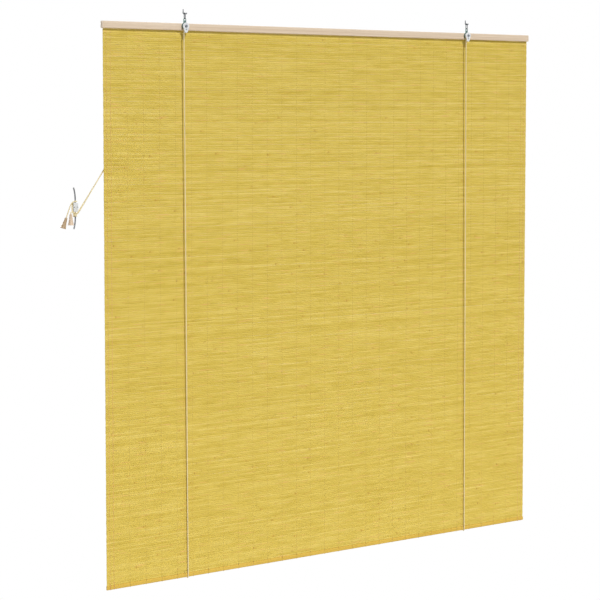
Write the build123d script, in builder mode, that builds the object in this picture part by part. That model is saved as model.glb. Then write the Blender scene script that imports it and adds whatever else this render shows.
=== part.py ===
# Bamboo roll-up blind, fully lowered, hung from two screw hooks and tied off on a wall cleat.
# Millimetres. X runs along the rail to the right, Y to the back, Z up. The origin lies on the
# ceiling face, midway between the shanks of the two hooks. The blind's front faces -Y.
import os
from math import cos, pi, radians, sin

from build123d import *

os.makedirs("parts", exist_ok=True)

# Blind as a whole
mat_width = 1500.0
blind_height = 1600.0
hook_spacing = 1000.0
rail_drop = 33.0
overrun = 5.0

# Rail: two battens with the upper edge of the mat between them
rail_overhang = 3.0
rail_height = 20.0
batten_thickness = 6.0
batten_round = 2.0
pin_count = 7
pin_margin = 108.0
pin_radius = 0.8
pin_head_radius = 1.6
pin_head_height = 0.8
pin_rise = 6.0
pin_cover = 1.5

# Reed mat: flat reeds side by side, with a groove on each face where two of them meet
reed_thickness = 1.8
reed_pitch = 5.42
groove_width = 0.9
web_thickness = 0.5
mat_inset = 5.4
slit_height = 0.4
slit_pitch = 27.1
slit_end_margin = 30.0
slit_top_margin = 18.0
cord_hole_radius = 2.3
cord_hole_drop = 26.15

# Bottom slat, the thick last reed that weights the lower edge
slat_thickness = 6.0
slat_height = 12.0
slat_round = 2.9

# Warp threads that bind the reeds
thread_count = 30
thread_margin = 22.0
thread_width = 1.2
thread_thickness = 0.5
thread_step = 3.0

# Screw hook: shank, arm to the right and an upturned tip
stud_radius = 1.3
stud_length = 7.0
stud_point = 0.8
hook_wire_radius = 1.5
hook_arm_drop = 6.0
hook_arm_length = 11.0
hook_bend = 3.0
hook_tip_bend = 2.4
hook_tip_drop = 2.8
hook_reach = 5.0

# Oval wire link between hook and bracket
link_wire_radius = 1.2
link_half_width = 3.5
link_bend = 3.45
link_seat = 0.15

# Hanger bracket: a plate on the front of the rail, the back cheek of the pulley
plate_thickness = 1.5
back_cheek_radius = 10.0
tongue_radius = 5.0
neck_width = 9.0
bracket_eye_drop = 22.0
bracket_eye_radius = 4.5
bracket_hole_radius = 2.8

# Pulley: front cheek, sheave, axle bolt, washer, nut and lower rivet
axle_drop = 8.0
axle_radius = 2.0
axle_gap = 0.05
bolt_hole_radius = 2.2
sheave_radius = 7.0
sheave_width = 7.0
sheave_side_gap = 0.4
groove_radius = 1.8
cord_wheel_radius = 5.1
cheek_thickness = 1.5
cheek_radius = 10.0
cheek_tip_radius = 5.5
cheek_tip_drop = 21.5
cheek_ease = 0.6
bolt_head_radius = 3.8
bolt_head_height = 2.4
bolt_head_round = 1.2
bolt_slot_width = 1.0
bolt_slot_depth = 1.0
bolt_end = 1.0
washer_radius = 4.5
washer_height = 1.0
nut_side_radius = 3.5
nut_height = 3.2
rivet_drop = 17.2
rivet_radius = 1.2
rivet_gap = 0.02
rivet_sleeve_radius = 1.6
rivet_head_radius = 2.2
rivet_head_height = 0.8

# Screw eyes that guide the cords behind the rail
eye_wire_radius = 1.0
eye_ring_radius = 5.0
eye_stand = 2.5
eye_grip = 5.0
eye_gap = 0.02
pull_eye_x = -465.0
pull_eye_drop = 12.0

# Anchor screws that hold the fixed end of each cord
anchor_offset = 16.0
anchor_drop = 10.0
anchor_shank_radius = 1.5
anchor_gap = 0.02
anchor_stand = 3.6
anchor_grip = 5.0
anchor_head_radius = 3.6
anchor_head_height = 2.2
anchor_head_round = 1.2

# Cord and the turns it makes round a screw or a rod
cord_diameter = 3.0
turn_gap = 0.2
turn_round = 1.2

# Cleat: a block with a steel rod through it, whose two ends are the horns
cleat_x = -824.8
cleat_drop = 547.2
cleat_rod_y = 22.05
block_width = 14.0
block_depth = 12.0
block_height = 25.0
block_round = 2.5
block_hole_radius = 1.4
block_hole_spacing = 9.0
rod_radius = 2.0
rod_gap = 0.05
horn_corner_rise = 38.0
horn_corner_drop = 44.0
horn_run = 18.0
horn_bend = 66.0
horn_arc = 28.0
horn_turn = 37.0
top_turn_rise = 1.7
top_turn_height = 3.5
bottom_turn_gap = 0.5
bottom_turn_height = 13.0

# Wooden tassels and the knots they rest on
tassel_height = 30.0
tassel_radius = 8.5
tassel_crown_radius = 3.6
tassel_waist_radius = 5.0
tassel_waist_rise = 17.0
tassel_bore_radius = 1.8
tassel_cup_radius = 5.0
tassel_cup_depth = 8.0
knot_radius = 2.8
knot_height = 4.5
knot_round = 1.2

# Cord routes, from the anchor screw over the pulley to the cleat, with the bend at each corner
left_route = [
    (-475.8, 16.35, -43.0),
    (-490.2, 12.65, -1634.9),
    (-490.2, 2.65, -1634.9),
    (-500.1, -4.65, -35.9),
    (-489.9, -4.65, -35.9),
    (-489.9, -4.4, -57.5),
    (-489.9, 16.65, -60.5),
    (-821.0, 18.55, -570.0),
]
left_bends = [3.2, 3.2, 5.05, 5.05, 6.0, 5.0]
right_route = [
    (524.2, 16.35, -43.0),
    (509.8, 12.65, -1634.9),
    (509.8, 2.65, -1634.9),
    (499.9, -4.65, -35.9),
    (510.1, -4.65, -35.9),
    (510.1, -4.4, -57.5),
    (510.1, 16.65, -60.5),
    (-465.0, 22.05, -44.0),
    (-821.0, 25.55, -570.0),
]
right_bends = [3.2, 3.2, 5.05, 5.05, 6.0, 5.0, 8.0]
left_tail_route = [
    (-828.6, 20.15, -530.9),
    (-837.0, 17.15, -534.0),
    (-844.5, 16.65, -549.0),
    (-861.3, 16.65, -596.75),
]
left_tail_bends = [7.5, 20.0]
right_tail_route = [
    (-828.6, 19.65, -565.0),
    (-836.5, 14.0, -559.5),
    (-842.4, 11.65, -560.0),
    (-842.4, 11.65, -588.0),
]
right_tail_bends = [6.0, 3.2]

# Levels and depths that follow from the sizes above
rail_length = mat_width + 2 * rail_overhang
rail_top = -rail_drop
rail_bottom = rail_top - rail_height
rail_middle = rail_top - rail_height / 2
rail_front = plate_thickness / 2
reed_half = reed_thickness / 2
mat_middle = rail_front + batten_thickness + reed_half
rail_back = mat_middle + reed_half + batten_thickness
lower_edge = rail_top - blind_height
slat_top = lower_edge + slat_height
reed_count = round((rail_top - mat_inset - slat_top) / reed_pitch)
mat_top = slat_top + reed_count * reed_pitch
slit_step = round(slit_pitch / reed_pitch)
axle_level = rail_top - axle_drop
rivet_level = rail_top - rivet_drop
sheave_back = -plate_thickness / 2 - sheave_side_gap
sheave_middle = sheave_back - sheave_width / 2
cheek_back = sheave_back - sheave_width - sheave_side_gap
cheek_front = cheek_back - cheek_thickness
nut_back = rail_back + washer_height + nut_height
cord_radius = cord_diameter / 2
turn_width = cord_diameter + turn_gap
cleat_level = -cleat_drop
block_back = cleat_rod_y + block_depth / 2
hook_x = {"left": -hook_spacing / 2, "right": hook_spacing / 2}
hanger_x = {side: x + hook_reach for side, x in hook_x.items()}
pull_eye_level = rail_top - pull_eye_drop

# Where fasteners and cords pass through the rail and the mat, as (x, z)
pin_pitch = (rail_length - 2 * pin_margin) / (pin_count - 1)
pin_first = hook_reach - rail_length / 2 + pin_margin
pin_places = [(pin_first + i * pin_pitch, rail_bottom + pin_rise) for i in range(pin_count)]
axle_places = [(x, axle_level) for x in hanger_x.values()]
anchor_places = [(x + anchor_offset, rail_top - anchor_drop) for x in hanger_x.values()]
eye_places = [(x + cord_wheel_radius, rail_back - batten_thickness / 2) for x in hanger_x.values()]
cord_holes = [(x + cord_wheel_radius, rail_top - cord_hole_drop) for x in hanger_x.values()]


def facing(y):
    """The plane seen from the front at depth y, with X to the right and Z up."""
    return Plane.XZ.offset(-y)


def write(piece, name):
    """Label a finished piece and write it to its own file."""
    piece.part.label = name
    export_step(piece.part, f"parts/{name}.step")


def bent_rod(points, bends, radius, close=False):
    """A round rod along straight runs that are joined by tangent arcs."""
    with BuildPart() as rod:
        with BuildLine():
            route = FilletPolyline(*points, radius=bends, close=close)
        with BuildSketch(Plane(origin=route @ 0, z_dir=route % 0)):
            Circle(radius)
        sweep()
    return rod, route.length


def screw_eye(middle, ring_axis, shank):
    """A wire ring about ring_axis, with a shank that leaves it along the direction shank."""
    across = Vector(*ring_axis).cross(Vector(*shank))
    with BuildPart() as eye:
        with BuildSketch(Plane(origin=middle, x_dir=shank, z_dir=across)):
            with Locations((eye_ring_radius, 0)):
                Circle(eye_wire_radius)
        revolve(axis=Axis(middle, ring_axis))
        with BuildSketch(Plane(origin=middle, x_dir=ring_axis, z_dir=shank).offset(eye_ring_radius)):
            Circle(eye_wire_radius)
        extrude(amount=eye_stand + eye_grip)
    return eye


def cord_turns(middle, axis, core_radius, height):
    """The closed outer shape of cord wound round a core, standing on its middle point."""
    with BuildPart() as turns:
        with BuildSketch(Plane(origin=middle, z_dir=axis)):
            Circle(core_radius + turn_gap + cord_diameter)
            Circle(core_radius + turn_gap, mode=Mode.SUBTRACT)
        extrude(amount=height)
        fillet(turns.edges().filter_by(GeomType.CIRCLE).group_by(SortBy.RADIUS)[-1], turn_round)
    return turns


# Front batten
with BuildPart() as front_batten:
    with BuildSketch(facing(rail_front)):
        with Locations((hook_reach, rail_middle)):
            Rectangle(rail_length, rail_height)
    extrude(amount=-batten_thickness)
    fillet(front_batten.faces().sort_by(Axis.Y)[0].edges().filter_by(Axis.X), batten_round)
    with BuildSketch(facing(rail_front - overrun)):
        with Locations(*axle_places):
            Circle(bolt_hole_radius)
    extrude(amount=-batten_thickness - 2 * overrun, mode=Mode.SUBTRACT)
    with BuildSketch(facing(rail_front + pin_cover)):
        with Locations(*pin_places):
            Circle(pin_radius)
    extrude(amount=-batten_thickness, mode=Mode.SUBTRACT)
write(front_batten, "front_batten")

# Back batten, drilled for bolts, pins, anchor screws and screw eyes
with BuildPart() as back_batten:
    with BuildSketch(facing(rail_back)):
        with Locations((hook_reach, rail_middle)):
            Rectangle(rail_length, rail_height)
    extrude(amount=batten_thickness)
    fillet(back_batten.faces().sort_by(Axis.Y)[-1].edges().filter_by(Axis.X), batten_round)
    with BuildSketch(facing(rail_back + overrun)):
        with Locations(*axle_places):
            Circle(bolt_hole_radius)
        with Locations(*pin_places):
            Circle(pin_radius)
    extrude(amount=batten_thickness + 2 * overrun, mode=Mode.SUBTRACT)
    with BuildSketch(facing(rail_back)):
        with Locations(*anchor_places):
            Circle(anchor_shank_radius + anchor_gap)
    extrude(amount=anchor_grip, mode=Mode.SUBTRACT)
    with BuildSketch(facing(rail_back)):
        with Locations((pull_eye_x, pull_eye_level)):
            Circle(eye_wire_radius + eye_gap)
    extrude(amount=eye_grip, mode=Mode.SUBTRACT)
    with BuildSketch(Plane.XY.offset(rail_bottom)):
        with Locations(*eye_places):
            Circle(eye_wire_radius + eye_gap)
    extrude(amount=eye_grip, mode=Mode.SUBTRACT)
write(back_batten, "back_batten")

# Pins that hold the battens together, driven from the back
with BuildPart() as rail_pins:
    with BuildSketch(facing(rail_back)):
        with Locations(*pin_places):
            Circle(pin_radius)
    extrude(amount=rail_back - rail_front - pin_cover)
    with BuildSketch(facing(rail_back)):
        with Locations(*pin_places):
            Circle(pin_head_radius)
    extrude(amount=-pin_head_height)
write(rail_pins, "rail_pins")

# Reed mat: one outline with a groove on both faces at every joint between two reeds
groove_levels = [slat_top + i * reed_pitch for i in range(1, reed_count)]
slit_levels = [z for z in groove_levels[::slit_step] if z < rail_bottom - slit_top_margin]
front_outline = [(-reed_half, slat_top)]
for level in groove_levels:
    front_outline += [
        (-reed_half, level - groove_width / 2),
        (-web_thickness / 2, level),
        (-reed_half, level + groove_width / 2),
    ]
front_outline += [(-reed_half, mat_top)]
back_outline = [(-y, z) for y, z in reversed(front_outline)]
mat_end = Plane(origin=(hook_reach - mat_width / 2, mat_middle, 0), x_dir=(0, 1, 0), z_dir=(1, 0, 0))
mat_centre = mat_end.offset(mat_width / 2)

with BuildPart() as reed_mat:
    with BuildSketch(mat_end):
        with BuildLine():
            Polyline(*front_outline, *back_outline, close=True)
        make_face()
    extrude(amount=mat_width)
    with BuildSketch(facing(mat_middle + overrun)):
        with Locations(*[(hook_reach, level) for level in slit_levels]):
            Rectangle(mat_width - 2 * slit_end_margin, slit_height)
        with Locations(*axle_places):
            Circle(bolt_hole_radius)
        with Locations(*pin_places):
            Circle(pin_radius)
        with Locations(*cord_holes):
            Circle(cord_hole_radius)
    extrude(amount=2 * overrun, mode=Mode.SUBTRACT)
write(reed_mat, "reed_mat")

# Bottom slat with a rounded lower edge for the cords
with BuildPart() as bottom_slat:
    with BuildSketch(mat_end) as slat_section:
        with Locations((0, (slat_top + lower_edge) / 2)):
            Rectangle(slat_thickness, slat_height)
        fillet(slat_section.vertices().group_by(Axis.Z)[0], slat_round)
    extrude(amount=mat_width)
write(bottom_slat, "bottom_slat")

# Warp threads: each runs down the front of the reeds, under the slat and up the back
slat_half = slat_thickness / 2
thread_inner = [
    (-reed_half, rail_bottom),
    (-reed_half, slat_top + thread_step),
    (-slat_half, slat_top),
    (-slat_half, lower_edge),
]
thread_outer = [(y - thread_thickness, z) for y, z in thread_inner[:-1]]
thread_outer += [(-slat_half - thread_thickness, lower_edge - thread_thickness)]
thread_outline = thread_outer + [(-y, z) for y, z in reversed(thread_outer)]
thread_outline += [(-y, z) for y, z in thread_inner] + list(reversed(thread_inner))
thread_pitch = (mat_width - 2 * thread_margin) / (thread_count - 1)

with BuildPart() as thread:
    with BuildSketch(mat_centre):
        with BuildLine():
            Polyline(*thread_outline, close=True)
        make_face()
    extrude(amount=thread_width / 2, both=True)

with BuildPart() as warp_threads:
    with Locations(*[((i - (thread_count - 1) / 2) * thread_pitch, 0, 0) for i in range(thread_count)]):
        add(thread.part)
write(warp_threads, "warp_threads")

# Hooks: a bent wire below the ceiling and a plain stud above it
for side, x in hook_x.items():
    arm_end = x + hook_arm_length
    hook_points = [
        (x, 0, 0),
        (x, 0, -hook_arm_drop),
        (arm_end, 0, -hook_arm_drop),
        (arm_end, 0, -hook_tip_drop),
    ]
    hook_wire, _ = bent_rod(hook_points, [hook_bend, hook_tip_bend], hook_wire_radius)
    with BuildPart() as hook:
        add(hook_wire.part)
        with BuildSketch(Plane(origin=(x, 0, 0))):
            Circle(stud_radius)
        extrude(amount=stud_length)
        chamfer(hook.faces().sort_by(Axis.Z)[-1].edges(), stud_point)
    write(hook, f"{side}_hook")

# Links: each passes over the arm of its hook and through the eye of its bracket
link_top = -hook_arm_drop + hook_wire_radius + link_seat + link_wire_radius
link_bottom = -bracket_eye_drop + bracket_hole_radius - link_seat - link_wire_radius
for side, x in hanger_x.items():
    link_points = [
        (x, -link_half_width, link_bottom),
        (x, link_half_width, link_bottom),
        (x, link_half_width, link_top),
        (x, -link_half_width, link_top),
    ]
    link, _ = bent_rod(link_points, link_bend, link_wire_radius, close=True)
    write(link, f"{side}_link")

# Hanger brackets: eye and neck above the rail, round back cheek and tongue on its front
for side, x in hanger_x.items():
    with BuildPart() as bracket:
        with BuildSketch(facing(rail_front)):
            with Locations((x, axle_level)):
                Circle(back_cheek_radius)
            with Locations((x, rail_bottom + tongue_radius)):
                Circle(tongue_radius)
            make_hull()
            with Locations((x, (axle_level - bracket_eye_drop) / 2)):
                Rectangle(neck_width, -bracket_eye_drop - axle_level)
            with Locations((x, -bracket_eye_drop)):
                Circle(bracket_eye_radius)
                Circle(bracket_hole_radius, mode=Mode.SUBTRACT)
            with Locations((x, axle_level)):
                Circle(bolt_hole_radius, mode=Mode.SUBTRACT)
            with Locations((x, rivet_level)):
                Circle(rivet_radius + rivet_gap, mode=Mode.SUBTRACT)
        extrude(amount=plate_thickness)
    write(bracket, f"{side}_bracket")

# Front cheeks: teardrop plates with an eased front edge
for side, x in hanger_x.items():
    with BuildPart() as cheek:
        with BuildSketch(facing(cheek_back)):
            with Locations((x, axle_level)):
                Circle(cheek_radius)
            with Locations((x, rail_top - cheek_tip_drop)):
                Circle(cheek_tip_radius)
            make_hull()
        extrude(amount=cheek_thickness)
        fillet(cheek.faces().sort_by(Axis.Y)[0].edges(), cheek_ease)
        with BuildSketch(facing(cheek_back)):
            with Locations((x, axle_level)):
                Circle(bolt_hole_radius)
            with Locations((x, rivet_level)):
                Circle(rivet_radius + rivet_gap)
        extrude(amount=cheek_thickness, mode=Mode.SUBTRACT)
    write(cheek, f"{side}_cheek")

# Sheaves: grooved wheels that run on the axle bolts
for side, x in hanger_x.items():
    with BuildPart() as sheave:
        with BuildSketch(Plane.YZ.offset(x)):
            with Locations((sheave_middle, axle_level + sheave_radius / 2)):
                Rectangle(sheave_width, sheave_radius)
            with Locations((sheave_middle, axle_level)):
                Rectangle(sheave_width, 2 * (axle_radius + axle_gap), mode=Mode.SUBTRACT)
            with Locations((sheave_middle, axle_level + cord_wheel_radius)):
                Circle(groove_radius, mode=Mode.SUBTRACT)
            with Locations((sheave_middle, axle_level + cord_wheel_radius + overrun / 2)):
                Rectangle(2 * groove_radius, overrun, mode=Mode.SUBTRACT)
        revolve(axis=Axis((x, 0, axle_level), (0, 1, 0)))
    write(sheave, f"{side}_sheave")

# Axle bolts: slotted head in front of the cheek, shank through pulley and rail
for side, x in hanger_x.items():
    with BuildPart() as axle_bolt:
        with BuildSketch(facing(cheek_front)):
            with Locations((x, axle_level)):
                Circle(bolt_head_radius)
        extrude(amount=bolt_head_height)
        fillet(axle_bolt.faces().sort_by(Axis.Y)[0].edges(), bolt_head_round)
        with BuildSketch(facing(cheek_front - bolt_head_height)):
            with Locations((x, axle_level)):
                Rectangle(2 * bolt_head_radius, bolt_slot_width)
        extrude(amount=-bolt_slot_depth, mode=Mode.SUBTRACT)
        with BuildSketch(facing(cheek_front)):
            with Locations((x, axle_level)):
                Circle(axle_radius)
        extrude(amount=cheek_front - nut_back - bolt_end)
    write(axle_bolt, f"{side}_axle_bolt")

# Washers and nuts behind the rail
with BuildPart() as axle_washers:
    with BuildSketch(facing(rail_back)):
        with Locations(*axle_places):
            Circle(washer_radius)
            Circle(bolt_hole_radius, mode=Mode.SUBTRACT)
    extrude(amount=-washer_height)
write(axle_washers, "axle_washers")

with BuildPart() as axle_nuts:
    with BuildSketch(facing(rail_back + washer_height)):
        with Locations(*axle_places):
            RegularPolygon(nut_side_radius, 6, major_radius=False)
            Circle(axle_radius + axle_gap, mode=Mode.SUBTRACT)
    extrude(amount=-nut_height)
write(axle_nuts, "axle_nuts")

# Lower rivets: head in front, sleeve between the cheeks, end flush with the back of the bracket
with BuildPart() as cheek_rivets:
    for x in hanger_x.values():
        with BuildSketch(facing(rail_front)):
            with Locations((x, rivet_level)):
                Circle(rivet_radius)
        extrude(amount=rail_front - cheek_front)
        with BuildSketch(facing(-plate_thickness / 2)):
            with Locations((x, rivet_level)):
                Circle(rivet_sleeve_radius)
        extrude(amount=-plate_thickness / 2 - cheek_back)
        with BuildSketch(facing(cheek_front)):
            with Locations((x, rivet_level)):
                Circle(rivet_head_radius)
        extrude(amount=rivet_head_height)
write(cheek_rivets, "cheek_rivets")

# Screw eyes: one under the rail for each cord, one on its back that gathers the right cord
eye_drop = eye_stand + eye_ring_radius
for side, (x, y) in zip(hanger_x, eye_places):
    guide_eye = screw_eye((x, y, rail_bottom - eye_drop), (0, 1, 0), (0, 0, 1))
    write(guide_eye, f"{side}_guide_eye")
pull_eye = screw_eye((pull_eye_x, rail_back + eye_drop, pull_eye_level), (1, 0, 0), (0, -1, 0))
write(pull_eye, "pull_eye")

# Anchor screws on the back of the rail and the cord turns round them
with BuildPart() as anchor_screws:
    with BuildSketch(facing(rail_back + anchor_stand)):
        with Locations(*anchor_places):
            Circle(anchor_shank_radius)
    extrude(amount=anchor_stand + anchor_grip)
    with BuildSketch(facing(rail_back + anchor_stand)):
        with Locations(*anchor_places):
            Circle(anchor_head_radius)
    extrude(amount=-anchor_head_height)
    fillet(anchor_screws.faces().filter_by(Axis.Y).group_by(Axis.Y)[-1].edges(), anchor_head_round)
write(anchor_screws, "anchor_screws")

for side, (x, z) in zip(hanger_x, anchor_places):
    cord_end = cord_turns((x, rail_back + turn_gap, z), (0, 1, 0), anchor_shank_radius, turn_width)
    write(cord_end, f"{side}_cord_end")

# Lift cords
left_lift_cord, left_length = bent_rod(left_route, left_bends, cord_radius)
write(left_lift_cord, "left_lift_cord")
right_lift_cord, right_length = bent_rod(right_route, right_bends, cord_radius)
write(right_lift_cord, "right_lift_cord")
left_tail, left_tail_length = bent_rod(left_tail_route, left_tail_bends, cord_radius)
write(left_tail, "left_tail")
right_tail, right_tail_length = bent_rod(right_tail_route, right_tail_bends, cord_radius)
write(right_tail, "right_tail")

# Cleat block with a bore for the rod and two screw holes
with BuildPart() as cleat_block:
    with BuildSketch(facing(block_back)):
        with Locations((cleat_x, cleat_level)):
            RectangleRounded(block_width, block_height, block_round)
    extrude(amount=block_depth)
    fillet(cleat_block.faces().sort_by(Axis.Y)[0].edges(), block_round / 2)
    with BuildSketch(Plane.XY.offset(cleat_level - block_height)):
        with Locations((cleat_x, cleat_rod_y)):
            Circle(rod_radius + rod_gap)
    extrude(amount=2 * block_height, mode=Mode.SUBTRACT)
    with BuildSketch(facing(block_back)):
        with Locations((cleat_x, cleat_level)):
            with GridLocations(block_hole_spacing, block_hole_spacing, 2, 1):
                Circle(block_hole_radius)
    extrude(amount=block_depth, mode=Mode.SUBTRACT)
write(cleat_block, "cleat_block")

# Cleat rod: straight through the block, with both ends swept away from the wall
out = Vector(-cos(radians(horn_turn)), -sin(radians(horn_turn)), 0)
lean = out * horn_run * sin(radians(horn_arc))
rise = Vector(0, 0, horn_run * cos(radians(horn_arc)))
upper_corner = Vector(cleat_x, cleat_rod_y, cleat_level + horn_corner_rise)
lower_corner = Vector(cleat_x, cleat_rod_y, cleat_level - horn_corner_drop)
rod_points = [lower_corner + lean - rise, lower_corner, upper_corner, upper_corner + lean + rise]
cleat_rod, _ = bent_rod(rod_points, horn_bend, rod_radius)
write(cleat_rod, "cleat_rod")

# Cord turns on the cleat, above and below the block
top_turn_base = (cleat_x, cleat_rod_y, cleat_level + block_height / 2 + top_turn_rise)
top_turns = cord_turns(top_turn_base, (0, 0, 1), rod_radius, top_turn_height)
write(top_turns, "cleat_top_turns")
bottom_turn_base = (cleat_x, cleat_rod_y, cleat_level - block_height / 2 - bottom_turn_gap)
bottom_turns = cord_turns(bottom_turn_base, (0, 0, -1), rod_radius, bottom_turn_height)
write(bottom_turns, "cleat_bottom_turns")

# Tassels: wooden bells on the ends of the tails, with a cup for the knot below
tail_ends = {"left": left_tail_route, "right": right_tail_route}
knot_planes = []
for side, route in tail_ends.items():
    up = (Vector(*route[-2]) - Vector(*route[-1])).normalized()
    half_section = Plane(origin=route[-1], x_dir=(0, 1, 0), z_dir=Vector(0, 1, 0).cross(up))
    crown = tassel_height - tassel_cup_depth
    with BuildPart() as tassel:
        with BuildSketch(half_section):
            with BuildLine():
                Polyline(
                    (tassel_bore_radius, 0),
                    (tassel_cup_radius, 0),
                    (tassel_cup_radius, -tassel_cup_depth),
                    (tassel_radius, -tassel_cup_depth),
                )
                ThreePointArc(
                    (tassel_radius, -tassel_cup_depth),
                    (tassel_waist_radius, tassel_waist_rise - tassel_cup_depth),
                    (tassel_crown_radius, crown),
                )
                Polyline((tassel_crown_radius, crown), (tassel_bore_radius, crown), (tassel_bore_radius, 0))
            make_face()
        revolve(axis=Axis(route[-1], up))
    write(tassel, f"{side}_tassel")
    knot_planes.append(Plane(origin=route[-1], z_dir=-up))

# Knots in the cups of the tassels
with BuildPart() as tassel_knots:
    with BuildSketch(*knot_planes):
        Circle(knot_radius)
    extrude(amount=knot_height)
    fillet(tassel_knots.edges().filter_by(GeomType.CIRCLE), knot_round)
write(tassel_knots, "tassel_knots")

section = pi * cord_radius**2
cord_pieces = [left_lift_cord, right_lift_cord, left_tail, right_tail]
cord_lengths = [left_length, right_length, left_tail_length, right_tail_length]
for piece, length in zip(cord_pieces, cord_lengths):
    volume_share = piece.part.volume / section / length
    print(piece.part.label, "length", round(length), "volume share", round(volume_share, 4))
print("bends", left_bends, right_bends, left_tail_bends, right_tail_bends)
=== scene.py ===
# %% [markdown]
# # A bamboo roll-up blind, piece by piece
# A roll-up blind is a mat of flat bamboo reeds bound by upright threads. A rail clamps its upper
# edge, two pulley hangers carry the rail, and two cords run under the lower edge to roll it up.
# The solid model gives every size. This lesson loads it as a fixed frame, replaces the mat,
# threads and cords with finer ones, and gives each piece a finish.

# %% Load the frame
import math
import random

import bmesh
import bpy
from mathutils import Matrix, Vector, noise


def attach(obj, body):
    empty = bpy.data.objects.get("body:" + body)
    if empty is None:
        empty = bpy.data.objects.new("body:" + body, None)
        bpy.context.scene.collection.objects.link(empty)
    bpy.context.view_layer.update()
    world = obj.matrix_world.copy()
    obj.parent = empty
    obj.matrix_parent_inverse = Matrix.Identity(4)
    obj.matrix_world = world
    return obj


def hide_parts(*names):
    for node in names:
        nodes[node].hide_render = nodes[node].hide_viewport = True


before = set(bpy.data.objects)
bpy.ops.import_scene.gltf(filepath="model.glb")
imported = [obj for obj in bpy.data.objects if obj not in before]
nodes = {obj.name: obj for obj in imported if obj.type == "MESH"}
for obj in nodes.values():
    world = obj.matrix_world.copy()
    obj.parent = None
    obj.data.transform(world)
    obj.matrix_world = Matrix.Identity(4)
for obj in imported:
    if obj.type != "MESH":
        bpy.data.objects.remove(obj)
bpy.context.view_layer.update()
scene = bpy.context.scene
MM = 0.001

# %% [markdown]
# ## Camera
# The photograph looks at the blind from its left, a third of the way round, with a long lens.
# Upright edges stay nearly upright, so the camera is almost level and the lens is shifted down.

# %% Camera
TILT_DOWN = 3.4
TURN_RIGHT = 31.16
camera_data = bpy.data.cameras.new("camera")
camera_data.lens = 93.57
camera_data.shift_y = -0.15
camera_data.clip_end = 100
camera = bpy.data.objects.new("camera", camera_data)
camera.location = (-2.5195, -3.9811, -0.2995)
camera.rotation_euler = (math.radians(90 - TILT_DOWN), 0, math.radians(-TURN_RIGHT))
scene.collection.objects.link(camera)
scene.camera = camera
print("camera at", tuple(round(v, 3) for v in camera.location))

# %% [markdown]
# ## Shader maths in plain Python
# A material is a graph of nodes. Wrapping a socket in a small class lets the operators add the
# Math nodes, so a mask reads as one line. One method makes any other node.


# %% Sockets as values
class Value:
    """A socket whose arithmetic adds Math nodes."""

    def __init__(self, graph, socket):
        self.graph = graph
        self.socket = socket

    def maths(self, operation, *others):
        inputs = dict(enumerate((self, *others)))
        return self.graph.node("ShaderNodeMath", {"operation": operation}, inputs)

    def __add__(self, other):
        return self.maths("ADD", other)

    def __sub__(self, other):
        return self.maths("SUBTRACT", other)

    def __mul__(self, other):
        return self.maths("MULTIPLY", other)

    def __rsub__(self, other):
        return self.graph.node("ShaderNodeMath", {"operation": "SUBTRACT"}, {0: other, 1: self})

    __radd__ = __add__
    __rmul__ = __mul__


class Graph:
    """A node tree, with a method that makes any node."""

    def __init__(self, tree):
        self.tree = tree

    def node(self, kind, settings=None, inputs=None, output=0):
        made = self.tree.nodes.new(kind)
        for key, value in (settings or {}).items():
            if key == "stops":
                ramp = made.color_ramp.elements
                while len(ramp) < len(value):
                    ramp.new(1.0)
                for element, (place, colour) in zip(ramp, value):
                    element.position = place
                    element.color = colour
            else:
                setattr(made, key, value)
        for key, value in (inputs or {}).items():
            if isinstance(value, Value):
                self.tree.links.new(value.socket, made.inputs[key])
            else:
                made.inputs[key].default_value = value
        return Value(self, made.outputs[output])

    def show(self, surface, end):
        """Lead a shader to the tree's output node."""
        self.tree.links.new(surface.socket, self.tree.nodes[end].inputs["Surface"])


class Finish(Graph):
    """One material, with its Principled shader."""

    def __init__(self, name, **constants):
        self.material = bpy.data.materials.new(name)
        self.material.use_nodes = True
        super().__init__(self.material.node_tree)
        self.shader = self.tree.nodes["Principled BSDF"]
        for socket, value in constants.items():
            self.shader.inputs[socket.replace("_", " ")].default_value = value

    def place(self, scale=(1, 1, 1)):
        """The point on the piece in the row frame, scaled along each axis."""
        here = self.node("ShaderNodeTexCoord", output="Object")
        return self.node("ShaderNodeMapping", inputs={"Vector": here, "Scale": scale})

    def blotches(self, scale, detail=3.0):
        """Noise from 0 to 1 on the piece, stretched by the scale of each axis."""
        inputs = {"Vector": self.place(scale), "Scale": 1.0, "Detail": detail, "Roughness": 0.55}
        return self.node("ShaderNodeTexNoise", inputs=inputs)

    def colours(self, share, *stops):
        """A colour ramp over a share, from (place, colour) stops."""
        stops = [(place, linear(colour)) for place, colour in stops]
        return self.node("ShaderNodeValToRGB", {"stops": stops}, {"Fac": share})

    def mixed(self, share, first, second):
        """A colour from the graph, mixed by a share with a picked one."""
        inputs = {0: share, 6: first, 7: linear(second)}
        return self.node("ShaderNodeMix", {"data_type": "RGBA"}, inputs, output=2)

    def step(self, value, low, high):
        """A smooth step from 0 at low to 1 at high."""
        inputs = {"Value": value, "From Min": low, "From Max": high}
        return self.node("ShaderNodeMapRange", {"interpolation_type": "SMOOTHSTEP"}, inputs)

    def bump(self, height, distance, strength):
        """A normal from a height, with the distance in metres."""
        inputs = {"Height": height, "Distance": distance, "Strength": strength}
        return self.node("ShaderNodeBump", inputs=inputs)

    def feed(self, **sockets):
        """Lead values to sockets of the Principled shader."""
        for name, value in sockets.items():
            self.tree.links.new(value.socket, self.shader.inputs[name.replace("_", " ")])


def linear(colour):
    """A colour, given as 0 to 255, as the linear RGBA that nodes take."""
    parts = [c / 255 for c in colour]
    return tuple(c / 12.92 if c <= 0.04045 else ((c + 0.055) / 1.055) ** 2.4 for c in parts) + (1.0,)


print("shader helpers ready")

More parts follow.
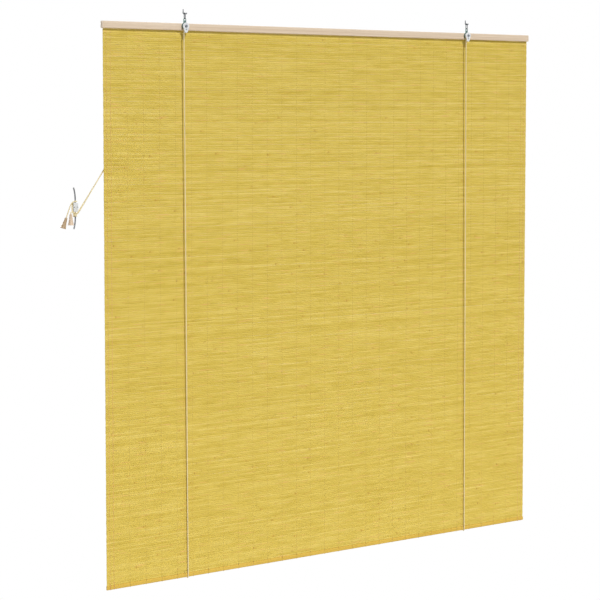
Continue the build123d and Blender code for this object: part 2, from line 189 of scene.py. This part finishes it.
# %% [markdown]
# ## Light and background
# The blind hangs in plain white space. The world is white to the camera and in reflections, and
# a milder grey as light, so pale pieces keep their tone. A soft sun high in front gives each cord
# its thin shadow and draws the dark line under the rail, evenly from top to bottom. A lamp behind
# shows the back. A floor well below keeps a shadow, and fades into the white further out.

# %% Light, background and floor
WHITE = (1, 1, 1, 1)
world = bpy.data.worlds.new("studio")
world.use_nodes = True
scene.world = world
sky = Graph(world.node_tree)
seen = sky.node("ShaderNodeLightPath", output="Is Camera Ray")
for ray in ("Is Glossy Ray", "Is Transmission Ray"):
    seen = seen.maths("MAXIMUM", sky.node("ShaderNodeLightPath", output=ray))
glow = sky.node("ShaderNodeBackground", inputs={"Color": (1.0, 0.99, 0.97, 1), "Strength": 0.2})
white = sky.node("ShaderNodeBackground", inputs={"Color": WHITE, "Strength": 1.0})
sky.show(sky.node("ShaderNodeMixShader", inputs={0: seen, 1: glow, 2: white}), "World Output")
scene.view_settings.view_transform = "Standard"


def lamp(name, kind, place, aim, power, size):
    """A lamp that looks at a point: a sun has an angle for its size, a square lamp has a width."""
    data = bpy.data.lights.new(name, kind)
    data.energy = power
    if kind == "SUN":
        data.angle = math.radians(size)
    else:
        data.size = size
    made = bpy.data.objects.new(name, data)
    made.location = place
    made.rotation_euler = (Vector(aim) - Vector(place)).to_track_quat("-Z", "Y").to_euler()
    scene.collection.objects.link(made)


AIM = (0, 0, -0.8)
lamp("key_sun", "SUN", (0.6, -6.0, 6.0), AIM, 2.75, 3)
lamp("back_lamp", "AREA", (-2.2, 6.5, 2.0), AIM, 340, 3.0)

FLOOR_LEVEL = -2.4
FLOOR_RADIUS = 9.0
FADE_FROM, FADE_TO = 0.5, 1.8
floor_mesh = bpy.data.meshes.new("floor")
floor_bm = bmesh.new()
bmesh.ops.create_circle(
    floor_bm, cap_ends=True, segments=96, radius=FLOOR_RADIUS,
    matrix=Matrix.Translation((0, 0, FLOOR_LEVEL)),
)
floor_bm.to_mesh(floor_mesh)
floor_bm.free()
floor = bpy.data.objects.new("floor", floor_mesh)
scene.collection.objects.link(floor)
floor_finish = Finish("floor_white", Roughness=0.9, Base_Color=(0.93, 0.93, 0.92, 1))
floor_place = floor_finish.place()
floor_x = floor_finish.node("ShaderNodeSeparateXYZ", inputs={0: floor_place})
floor_y = floor_finish.node("ShaderNodeSeparateXYZ", inputs={0: floor_place}, output=1)
from_middle = (floor_x * floor_x + floor_y * floor_y).maths("SQRT")
far_out = floor_finish.step(from_middle, FADE_FROM, FADE_TO)
to_camera = floor_finish.node("ShaderNodeLightPath", output="Is Camera Ray")
bright = floor_finish.node("ShaderNodeEmission", inputs={"Color": WHITE, "Strength": 1.0})
matt = Value(floor_finish, floor_finish.shader.outputs[0])
faded = {0: far_out * to_camera, 1: matt, 2: bright}
floor_finish.show(floor_finish.node("ShaderNodeMixShader", inputs=faded), "Material Output")
floor_mesh.materials.append(floor_finish.material)


# %% [markdown]
# ## Shared helpers
# A finished mesh becomes an object at the origin, with its place in its vertices, so that Object
# coordinates mean the same place on every piece. It then rides on the body that carries it.

# %% Helpers for pieces
def add_piece(name, data, finish, replaced=()):
    """Put a mesh or a curve into the scene as a piece of the blind."""
    piece = bpy.data.objects.new(name, data)
    scene.collection.objects.link(piece)
    data.materials.append(finish.material)
    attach(piece, "blind")
    if replaced:
        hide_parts(*replaced)
    return piece


def dress(finish, *names):
    """Give CAD nodes their finish."""
    for name in names:
        for place in nodes[name].material_slots:
            place.material = finish.material
        if not nodes[name].material_slots:
            nodes[name].data.materials.append(finish.material)


print("piece helpers ready")

# %% [markdown]
# ## Bamboo finish
# Split bamboo is straw yellow, with fine grain along each reed, a slightly different tone from
# reed to reed, and now and then the darker ring of a joint. Each reed carries three random
# numbers in a point attribute: its tone, how far its joints are shifted, and how strong they are.

# %% Bamboo finish
def bamboo(name, deep, middle, pale, by_reed):
    """A bamboo finish, with marks of its own on each reed if asked."""
    finish = Finish(name, Specular_IOR_Level=0.12)
    grain = finish.blotches((9, 260, 1400), detail=4.0)
    broad = finish.blotches((2.2, 3.0, 60), detail=2.0)
    if by_reed:
        reed = finish.node("ShaderNodeAttribute", {"attribute_name": "reed"}, output="Color")
        split = {"Color": reed}
        tone = finish.node("ShaderNodeSeparateColor", inputs=split)
        shift = finish.node("ShaderNodeSeparateColor", inputs=split, output=1)
        joint_share = finish.node("ShaderNodeSeparateColor", inputs=split, output=2)
        here = finish.node("ShaderNodeTexCoord", output="Object")
        along = finish.node("ShaderNodeSeparateXYZ", inputs={0: here})
        own = {"X": along * 16.0 + shift * 100.0, "Y": shift * 53.0, "Z": tone * 71.0}
        own_line = finish.node("ShaderNodeCombineXYZ", inputs=own)
        spots = {"Vector": own_line, "Scale": 1.0, "Detail": 3.0}
        dash = finish.node("ShaderNodeTexNoise", inputs=spots)
        share = (tone - 0.5) * 0.14 + (grain - 0.5) * 0.7 + (broad - 0.5) * 0.1
        share = share + (dash - 0.5) * 0.5 + 0.5
    else:
        share = grain * 0.6 + broad * 0.4
    colour = finish.colours(share, (0.2, deep), (0.5, middle), (0.8, pale))
    if by_reed:
        phase = (along * 2.6 + shift * 7.0).maths("FRACT")
        ring = 1 - finish.step((phase - 0.5).maths("ABSOLUTE"), 0.002, 0.0055)
        strong = finish.step(joint_share, 0.6, 1.0)
        colour = finish.mixed(ring * strong * 0.6, colour, (150, 104, 44))
        scorch = 1 - finish.step((phase - 0.51).maths("ABSOLUTE"), 0.004, 0.03)
        colour = finish.mixed(scorch * strong * 0.25, colour, (196, 146, 62))
        blush = finish.step(finish.blotches((15, 12, 330), detail=1.0), 0.62, 0.74)
        colour = finish.mixed(blush * 0.6, colour, (226, 176, 110))
        fleck = finish.step(finish.blotches((48, 14, 390), detail=1.0), 0.66, 0.76)
        colour = finish.mixed(fleck * 0.5, colour, (166, 134, 52))
    finish.feed(Base_Color=colour, Roughness=0.48 + grain * 0.22)
    finish.feed(Normal=finish.bump(grain, 0.0002, 0.5))
    return finish


reed_finish = bamboo("split_bamboo", (190, 163, 60), (211, 186, 86), (230, 207, 118), True)
slat_finish = bamboo("slat_bamboo", (192, 156, 62), (209, 174, 76), (220, 188, 94), False)
print("bamboo finishes ready")

# %% [markdown]
# ## Reeds
# Each reed is a flat splint, about 5 mm tall and under 2 mm thick, with eased edges. A cube is
# stretched to each reed, all long edges are beveled at once, and the lengths are cut into spans
# so that every reed can bow a little. Where a cord passes behind, the reed is parted.

# %% Reeds
PITCH = 5.42
SLAT_TOP = -1621.0
REED_COUNT = 292
MAT_MIDDLE = 7.65
MAT_LEFT, MAT_RIGHT = -745.0, 755.0
PARTED_ROW = 288
CORD_GAPS = (-489.9, 510.1)
GAP_HALF = 2.6
REED_EDGE = 0.62
REED_CUTS = 11
REED_BOW = 0.00012
LONGER_THAN = 0.05

random.seed(48)
reed_bm = bmesh.new()
for row in range(REED_COUNT):
    left = MAT_LEFT + random.uniform(-0.3, 0.4)
    right = MAT_RIGHT + random.uniform(-0.4, 0.3)
    tall = PITCH - random.uniform(0.0, 0.1)
    thick = random.uniform(1.5, 1.8)
    level = SLAT_TOP + (row + 0.5) * PITCH
    ends = [left, right]
    if row == PARTED_ROW:
        ends = [left, *(x + side for x in CORD_GAPS for side in (-GAP_HALF, GAP_HALF)), right]
    for start, stop in zip(ends[::2], ends[1::2]):
        centre = Vector(((start + stop) / 2, MAT_MIDDLE, level)) * MM
        stretch = Matrix.Diagonal(((stop - start) * MM, thick * MM, tall * MM, 1))
        bmesh.ops.create_cube(reed_bm, size=1.0, matrix=Matrix.Translation(centre) @ stretch)


def long_edges(bm):
    """The edges that run along the reeds."""
    return [e for e in bm.edges if abs(e.verts[0].co.x - e.verts[1].co.x) > LONGER_THAN]


bmesh.ops.bevel(
    reed_bm, geom=long_edges(reed_bm), offset=REED_EDGE * MM, offset_type="OFFSET", segments=1,
    profile=0.5, affect="EDGES", material=-1,
)
bmesh.ops.subdivide_edges(
    reed_bm, edges=long_edges(reed_bm), cuts=REED_CUTS, use_grid_fill=True,
)
reed_layer = reed_bm.verts.layers.float_color.new("reed")
reed_traits = [(*(random.random() for _ in range(3)), 1.0) for _ in range(REED_COUNT)]
for vert in reed_bm.verts:
    row = min(REED_COUNT - 1, max(0, int((vert.co.z / MM - SLAT_TOP) / PITCH)))
    vert[reed_layer] = reed_traits[row]
    vert.co.z += REED_BOW * noise.noise(Vector((vert.co.x * 3.1, row * 4.7, 0)))
    vert.co.y += REED_BOW * noise.noise(Vector((vert.co.x * 2.3, row * 3.3, 9)))
reed_mesh = bpy.data.meshes.new("reeds")
reed_bm.to_mesh(reed_mesh)
reed_bm.free()
add_piece("reeds", reed_mesh, reed_finish, ["reed_mat"])
dress(slat_finish, "bottom_slat")
print("reeds", REED_COUNT, "faces", len(reed_mesh.polygons))

# %% [markdown]
# ## Warp threads
# Two thin strands twine round the reeds at each line: one passes in front of a reed while the
# other passes behind, and they swap at every gap. A NURBS line with one point for each reed,
# set alternately in front and behind, makes that wave. The lines are then made a mesh. One more
# line runs beside each cord, and two lines of a rosier yarn run along each side edge.

# %% Warp threads
def yarn(name, deep, pale):
    """A matt finish with a fine twist."""
    finish = Finish(name, Roughness=0.85)
    twist = finish.blotches((900, 900, 1500), detail=2.0)
    finish.feed(Base_Color=finish.colours(twist, (0.2, deep), (0.8, pale)))
    finish.feed(Normal=finish.bump(twist, 0.0002, 0.6))
    return finish


straw_yarn = yarn("straw_yarn", (192, 160, 78), (220, 194, 110))
rose_yarn = yarn("rose_yarn", (204, 138, 104), (232, 174, 142))
THREAD_COUNT = 30
THREAD_INSET = 22
THREAD_PITCH = (MAT_RIGHT - MAT_LEFT - 2 * THREAD_INSET) / (THREAD_COUNT - 1)
THREAD_SWING = 2.5
THREAD_RADIUS = 0.00042
THREAD_TOP = -53.2
THREAD_ROWS = 287


def add_line(curve, points):
    """One open NURBS line through a curve's data, from points in millimetres."""
    spline = curve.splines.new("NURBS")
    spline.points.add(len(points) - 1)
    for point, place in zip(spline.points, points):
        point.co = (*(c * MM for c in place), 1)
    spline.order_u = 3
    spline.use_endpoint_u = True


def strand(curve, x, first_side):
    """One strand of a warp line, from the rail down and round the slat."""
    points = [(x, MAT_MIDDLE, THREAD_TOP)]
    for row in reversed(range(THREAD_ROWS)):
        side = first_side if row % 2 else -first_side
        level = SLAT_TOP + (row + 0.5) * PITCH
        points.append((x, MAT_MIDDLE + side * THREAD_SWING, level))
    points += [
        (x, MAT_MIDDLE - first_side * 3.3, SLAT_TOP - 0.5),
        (x, MAT_MIDDLE - first_side * 3.5, SLAT_TOP - 9.0),
        (x, MAT_MIDDLE - first_side * 2.6, SLAT_TOP - 12.6),
        (x, MAT_MIDDLE, SLAT_TOP - 12.5),
    ]
    add_line(curve, points)


def mesh_of(curve, name):
    """The mesh of a curve, with its round section."""
    holder = bpy.data.objects.new(name, curve)
    scene.collection.objects.link(holder)
    bpy.context.view_layer.update()
    graph = bpy.context.evaluated_depsgraph_get()
    made = bpy.data.meshes.new_from_object(holder.evaluated_get(graph))
    bpy.data.objects.remove(holder)
    made.name = name
    return made


def thread_piece(name, places, first_side, finish, replaced=()):
    """All strands of one kind that start on the same side, as one mesh."""
    curve = bpy.data.curves.new(name, "CURVE")
    curve.dimensions = "3D"
    curve.bevel_depth = THREAD_RADIUS
    curve.bevel_resolution = 0
    curve.resolution_u = 2
    curve.use_fill_caps = True
    for x in places:
        strand(curve, x, first_side)
    mesh = mesh_of(curve, name)
    mesh.materials.clear()
    print(name, "triangles", sum(len(p.vertices) - 2 for p in mesh.polygons))
    add_piece(name, mesh, finish, replaced)


MAT_CENTRE = (MAT_LEFT + MAT_RIGHT) / 2
BESIDE_CORDS = [-499.0, 501.0]
EDGE_INSET = 10.0
even_places = [MAT_CENTRE + (i - (THREAD_COUNT - 1) / 2) * THREAD_PITCH for i in range(THREAD_COUNT)]
inner_places = even_places[1:-1] + BESIDE_CORDS
edge_places = [MAT_LEFT + EDGE_INSET, even_places[0], even_places[-1], MAT_RIGHT - EDGE_INSET]
thread_piece("threads_a", inner_places, 1, straw_yarn, ["warp_threads"])
thread_piece("threads_b", inner_places, -1, straw_yarn)
thread_piece("edge_threads_a", edge_places, 1, rose_yarn)
thread_piece("edge_threads_b", edge_places, -1, rose_yarn)

# %% [markdown]
# ## Cords
# The cords are 3 mm braided cotton. Each starts in a loop round its anchor screw, hangs down the
# back, goes under the slat, up the front, over the pulley, through the mat and on to the cleat.
# One smooth NURBS line with the route's own points carries the round section.

# %% Cord finish
cord_finish = Finish("braided_cord", Roughness=0.9)
lay = cord_finish.place()
waves = cord_finish.node(
    "ShaderNodeTexWave", {"wave_type": "BANDS", "bands_direction": "DIAGONAL"},
    {"Vector": lay, "Scale": 120.0, "Distortion": 1.5, "Detail": 1.0},
)
fuzz = cord_finish.blotches((800, 800, 800), detail=2.0)
cord_share = waves * 0.6 + fuzz * 0.4
cord_colour = cord_finish.colours(cord_share, (0.1, (214, 196, 148)), (0.8, (236, 221, 178)))
cord_finish.feed(Base_Color=cord_colour)
cord_finish.feed(Normal=cord_finish.bump(cord_share, 0.0003, 0.4))
dress(cord_finish, "tassel_knots")
print("cord finish ready")


# %% Cords
CORD_DIAMETER = 0.003
ANCHOR_X = (-479.0, 521.0)
ANCHOR_LEVEL = -43.0
LOOP_DEPTH = 16.1
LOOP_RADIUS = 3.3
LOOP_RISE = 0.2
LOOP_STEPS = 12
LOOP_POINTS = 10
LOOP_START = 270


def anchor_loop(x):
    """Points clockwise round an anchor screw, for three quarters of a turn from below it."""
    middle = Vector((x, LOOP_DEPTH, ANCHOR_LEVEL))
    points = []
    for i in range(LOOP_POINTS):
        angle = math.radians(LOOP_START) - i / LOOP_STEPS * math.tau
        out = Vector((math.cos(angle), 0, math.sin(angle)))
        rise = Vector((0, LOOP_RISE, 0)) * (i / LOOP_STEPS)
        points.append(tuple(middle + out * LOOP_RADIUS + rise))
    return points


def cord(name, route, replaced):
    """A cord along the route's points, in millimetres."""
    curve = bpy.data.curves.new(name, "CURVE")
    curve.dimensions = "3D"
    curve.bevel_depth = CORD_DIAMETER / 2
    curve.bevel_resolution = 4
    curve.resolution_u = 12
    curve.use_fill_caps = True
    add_line(curve, route)
    piece = add_piece(name, curve, cord_finish, replaced)
    tuple(c * MM for c in route[0])
    print(name, "points", len(route))


left_route = anchor_loop(ANCHOR_X[0]) + [
    (-475.9, 16.3, -61.0),
    (-490.1, 12.7, -1616.0),
    (-490.2, 12.65, -1634.9),
    (-490.2, 2.65, -1634.9),
    (-490.3, 2.5, -1616.0),
    (-500.0, -4.6, -54.0),
    (-500.1, -4.65, -35.9),
    (-489.9, -4.65, -35.9),
    (-489.9, -4.4, -57.5),
    (-489.9, 16.65, -60.5),
    (-499.8, 16.7, -75.6),
    (-811.2, 18.5, -554.9),
    (-821.0, 18.3, -567.5),
    (-828.6, 18.3, -567.2),
    (-828.6, 25.8, -566.2),
    (-821.0, 25.8, -565.0),
    (-821.0, 18.3, -564.0),
    (-828.8, 18.2, -563.2),
    (-833.9, 22.5, -559.0),
    (-834.0, 23.0, -547.0),
    (-832.6, 24.0, -535.5),
    (-827.5, 25.8, -531.6),
    (-821.0, 25.8, -531.2),
    (-821.0, 18.3, -531.0),
    (-828.6, 18.4, -530.9),
    (-837.0, 17.15, -534.0),
    (-844.5, 16.65, -549.0),
    (-861.3, 16.65, -596.75),
]
right_route = anchor_loop(ANCHOR_X[1]) + [
    (524.1, 16.3, -61.0),
    (509.9, 12.7, -1616.0),
    (509.8, 12.65, -1634.9),
    (509.8, 2.65, -1634.9),
    (509.7, 2.5, -1616.0),
    (500.0, -4.6, -54.0),
    (499.9, -4.65, -35.9),
    (510.1, -4.65, -35.9),
    (510.1, -4.4, -57.5),
    (510.1, 16.65, -60.5),
    (492.1, 16.75, -60.2),
    (-447.0, 21.95, -44.3),
    (-465.0, 22.05, -44.0),
    (-475.1, 22.15, -58.9),
    (-811.0, 25.4, -556.0),
    (-821.0, 25.8, -569.5),
    (-828.7, 25.9, -570.5),
    (-828.7, 18.2, -571.2),
    (-821.0, 18.2, -571.5),
    (-821.0, 25.9, -572.8),
    (-828.9, 26.1, -573.8),
    (-830.8, 17.0, -569.5),
    (-833.3, 15.3, -564.0),
    (-836.5, 14.0, -559.5),
    (-842.4, 11.65, -560.0),
    (-842.4, 11.65, -567.5),
    (-842.4, 11.65, -588.0),
]
cord(
    "left_cord", left_route,
    ["left_lift_cord", "left_tail", "left_cord_end", "cleat_top_turns"],
)
cord(
    "right_cord", right_route,
    ["right_lift_cord", "right_tail", "right_cord_end", "cleat_bottom_turns"],
)

# %% [markdown]
# ## Rail wood
# The battens are planed softwood, pale and slightly pink, with long grain. Noise that is
# stretched far along the rail gives grain lines, and a slower noise gives broad bands.

# %% Rail wood
rail_finish = Finish("planed_wood", Roughness=0.6)
rail_grain = rail_finish.blotches((3.0, 120, 420), detail=5.0)
rail_band = rail_finish.blotches((0.8, 20, 55), detail=2.0)
rail_share = rail_grain * 0.55 + rail_band * 0.45
rail_colour = rail_finish.colours(
    rail_share, (0.3, (196, 172, 144)), (0.5, (218, 198, 174)), (0.7, (232, 216, 196)),
)
rail_finish.feed(Base_Color=rail_colour, Roughness=0.5 + rail_grain * 0.2)
rail_finish.feed(Normal=rail_finish.bump(rail_grain, 0.0002, 0.4))
dress(rail_finish, "front_batten", "back_batten")
print("rail dressed")


# %% [markdown]
# ## Metal, paint and plastic
# Zinc plating is a mild blue grey with soft spangle. The cheeks are painted white, the wheels
# and the cleat's block are moulded white. Small variations in roughness keep them from looking
# like plain colour.

# %% Metal, paint and plastic
def metal(name, dark, light, rough):
    """A plated metal with soft clouds and a fine grain."""
    finish = Finish(name, Metallic=1.0)
    cloud = finish.blotches((160, 160, 160))
    finish.feed(Base_Color=finish.colours(cloud, (0.3, dark), (0.7, light)))
    finish.feed(Roughness=rough + cloud * 0.2)
    finish.feed(Normal=finish.bump(finish.blotches((900, 900, 900)), 0.00005, 0.4))
    return finish


def coated(name, shade, light, rough):
    """Paint or plastic with a thin gloss."""
    finish = Finish(name, Coat_Weight=0.15)
    cloud = finish.blotches((90, 90, 90), detail=2.0)
    finish.feed(Base_Color=finish.colours(cloud, (0.3, shade), (0.7, light)))
    finish.feed(Roughness=rough + cloud * 0.15)
    finish.feed(Normal=finish.bump(finish.blotches((700, 700, 700)), 0.00005, 0.3))
    return finish


zinc = metal("zinc_plate", (134, 146, 148), (176, 184, 186), 0.3)
plate_zinc = metal("hanger_plate", (84, 106, 102), (124, 146, 140), 0.35)
wire_steel = metal("hook_wire", (66, 68, 72), (104, 106, 110), 0.35)
bolt_steel = metal("bolt_steel", (104, 108, 114), (146, 150, 156), 0.35)
rod_steel = metal("rod_steel", (92, 94, 97), (140, 142, 145), 0.32)
white_paint = coated("white_paint", (212, 214, 216), (228, 229, 230), 0.35)
nylon = coated("white_nylon", (222, 221, 212), (236, 235, 228), 0.3)
cleat_white = coated("cleat_white", (208, 209, 208), (224, 225, 224), 0.4)
dress(zinc, "left_guide_eye", "right_guide_eye", "pull_eye")
dress(plate_zinc, "left_bracket", "right_bracket")
dress(wire_steel, "left_hook", "right_hook", "left_link", "right_link")
dress(bolt_steel, "left_axle_bolt", "right_axle_bolt")
dress(white_paint, "left_cheek", "right_cheek")
dress(nylon, "left_sheave", "right_sheave")
dress(cleat_white, "cleat_block")
dress(rod_steel, "cleat_rod")
print("hardware dressed")


# %% [markdown]
# ## Small fasteners
# Rivets, pins, screws, washers and nuts repeat along the rail, and the solid model draws them
# coarsely. Here each is turned afresh. A cone with equal ends is the blank, a bevel on the rim
# forms the head, a pushed-in strip is the slot, and a spun rectangle is a washer.


# %% Small fasteners
def blank(bm, x, z, front, back, radius, segments=32):
    """A round bar along Y between two depths, in millimetres. Returns its vertices."""
    middle = Matrix.Translation(Vector((x, (front + back) / 2, z)) * MM)
    made = bmesh.ops.create_cone(
        bm, cap_ends=True, cap_tris=False, segments=segments, radius1=radius * MM,
        radius2=radius * MM, depth=(back - front) * MM,
        matrix=middle @ Matrix.Rotation(math.pi / 2, 4, "X"),
    )
    return made["verts"]


def edges_of(verts):
    """The edges at some vertices, each once and in a fixed order."""
    return list(dict.fromkeys(e for v in verts for e in v.link_edges))


def round_edges(bm, edges, width, segments):
    """Round some edges of a bar."""
    bmesh.ops.bevel(
        bm, geom=edges, offset=width * MM, offset_type="OFFSET", segments=segments, profile=0.5,
        affect="EDGES", material=-1,
    )


def round_rim(bm, verts, depth, width):
    """Round the rim of a bar at one of its two ends."""
    def at_end(edge):
        return all(abs(v.co.y - depth * MM) < 1e-6 for v in edge.verts)

    round_edges(bm, [e for e in edges_of(verts) if at_end(e)], width, 4)


def fastener_piece(name, bm, replaced):
    """A mesh of zinc fasteners in place of one CAD node."""
    bmesh.ops.recalc_face_normals(bm, faces=bm.faces)
    mesh = bpy.data.meshes.new(name)
    bm.to_mesh(mesh)
    bm.free()
    mesh.shade_smooth()
    mesh.set_sharp_from_angle(angle=math.radians(35))
    print(name, "faces", len(mesh.polygons))
    add_piece(name, mesh, zinc, [replaced])


HANGER_X = (-495.0, 505.0)
RIVET_LEVEL = -50.2
RIVET_FACE = -10.85
rivet_bm = bmesh.new()
for x in HANGER_X:
    head = blank(rivet_bm, x, RIVET_LEVEL, RIVET_FACE, -10.05, 2.2)
    round_rim(rivet_bm, head, RIVET_FACE, 0.6)
    blank(rivet_bm, x, RIVET_LEVEL, -8.55, -0.75, 1.6)
fastener_piece("rivets", rivet_bm, "cheek_rivets")

PIN_COUNT = 7
PIN_PITCH = 215.0
PIN_LEVEL = -47.0
PIN_FACE = 15.35
pin_bm = bmesh.new()
for i in range(PIN_COUNT):
    x = MAT_CENTRE + (i - (PIN_COUNT - 1) / 2) * PIN_PITCH
    round_rim(pin_bm, blank(pin_bm, x, PIN_LEVEL, 14.5, PIN_FACE, 1.6, 24), PIN_FACE, 0.5)
fastener_piece("pins", pin_bm, "rail_pins")

HEAD_BACK, HEAD_FACE = 18.15, 20.35
SLOT_HALF = 0.45
SLOT_FLOOR = 19.2
screw_bm = bmesh.new()
for x in ANCHOR_X:
    blank(screw_bm, x, ANCHOR_LEVEL, 14.0, 18.2, 1.5)
    head = blank(screw_bm, x, ANCHOR_LEVEL, HEAD_BACK, HEAD_FACE, 3.6, 40)
    round_rim(screw_bm, head, HEAD_FACE, 1.1)
    for side in (-SLOT_HALF, SLOT_HALF):
        bmesh.ops.bisect_plane(
            screw_bm, geom=screw_bm.verts[:] + screw_bm.edges[:] + screw_bm.faces[:], dist=1e-7,
            plane_co=Vector((x, 0, ANCHOR_LEVEL + side)) * MM, plane_no=(0, 0, 1),
        )


def in_slot(face):
    """Whether a face of the head lies between the two cuts."""
    middle = face.calc_center_median() / MM
    return face.normal.y > 0.5 and middle.y > 19.0 and abs(middle.z - ANCHOR_LEVEL) < SLOT_HALF


slot_faces = [f for f in screw_bm.faces if in_slot(f)]
pushed = bmesh.ops.extrude_face_region(screw_bm, geom=slot_faces)["geom"]
bmesh.ops.delete(screw_bm, geom=slot_faces, context="FACES")
for vert in pushed:
    if isinstance(vert, bmesh.types.BMVert):
        vert.co.y = SLOT_FLOOR * MM
fastener_piece("screws", screw_bm, "anchor_screws")

AXLE_LEVEL = -41.0
WASHER_RADIUS = 3.35
WASHER_WIDTH = 2.3
washer_bm = bmesh.new()
for x in HANGER_X:
    middle = Vector((x, 15.05, AXLE_LEVEL)) * MM
    rim = Matrix.Translation(middle + Vector((WASHER_RADIUS, 0, 0)) * MM)
    section = bmesh.ops.create_grid(
        washer_bm, x_segments=1, y_segments=1, size=0.5 * MM,
        matrix=rim @ Matrix.Diagonal((WASHER_WIDTH, 1, 1, 1)),
    )["verts"]
    edges = edges_of(section)
    bmesh.ops.delete(washer_bm, geom=section[0].link_faces[:], context="FACES_ONLY")
    bmesh.ops.spin(
        washer_bm, geom=section + edges, cent=middle, axis=(0, 1, 0), angle=math.tau, steps=40,
        use_merge=True,
    )
fastener_piece("washers", washer_bm, "axle_washers")

NUT_HALF = 3.5
nut_bm = bmesh.new()
for x in HANGER_X:
    corners = blank(nut_bm, x, AXLE_LEVEL, 15.55, 18.75, NUT_HALF / math.cos(math.pi / 6), 6)
    round_edges(nut_bm, edges_of(corners), 0.3, 2)
fastener_piece("nuts", nut_bm, "axle_nuts")

# %% [markdown]
# ## Turned wooden tassels
# The tassels are small bells turned on a lathe, one tan and one pale. Fine rings run round each
# of them, so noise is stretched across the bell and squeezed along its axis.

# %% Tassels
def turned_wood(name, deep, middle, pale):
    """Wood with rings round the bell and grain along it."""
    finish = Finish(name, Roughness=0.45, Coat_Weight=0.1)
    rings = finish.blotches((60, 60, 900))
    grain = finish.blotches((500, 500, 60), detail=4.0)
    share = rings * 0.4 + grain * 0.6
    finish.feed(Base_Color=finish.colours(share, (0.3, deep), (0.5, middle), (0.7, pale)))
    finish.feed(Normal=finish.bump(rings, 0.0002, 0.25))
    return finish


dress(turned_wood("tan_wood", (150, 124, 92), (171, 145, 111), (189, 164, 130)), "left_tassel")
dress(turned_wood("pale_wood", (198, 172, 146), (214, 190, 164), (226, 205, 181)), "right_tassel")
print("tassels dressed")
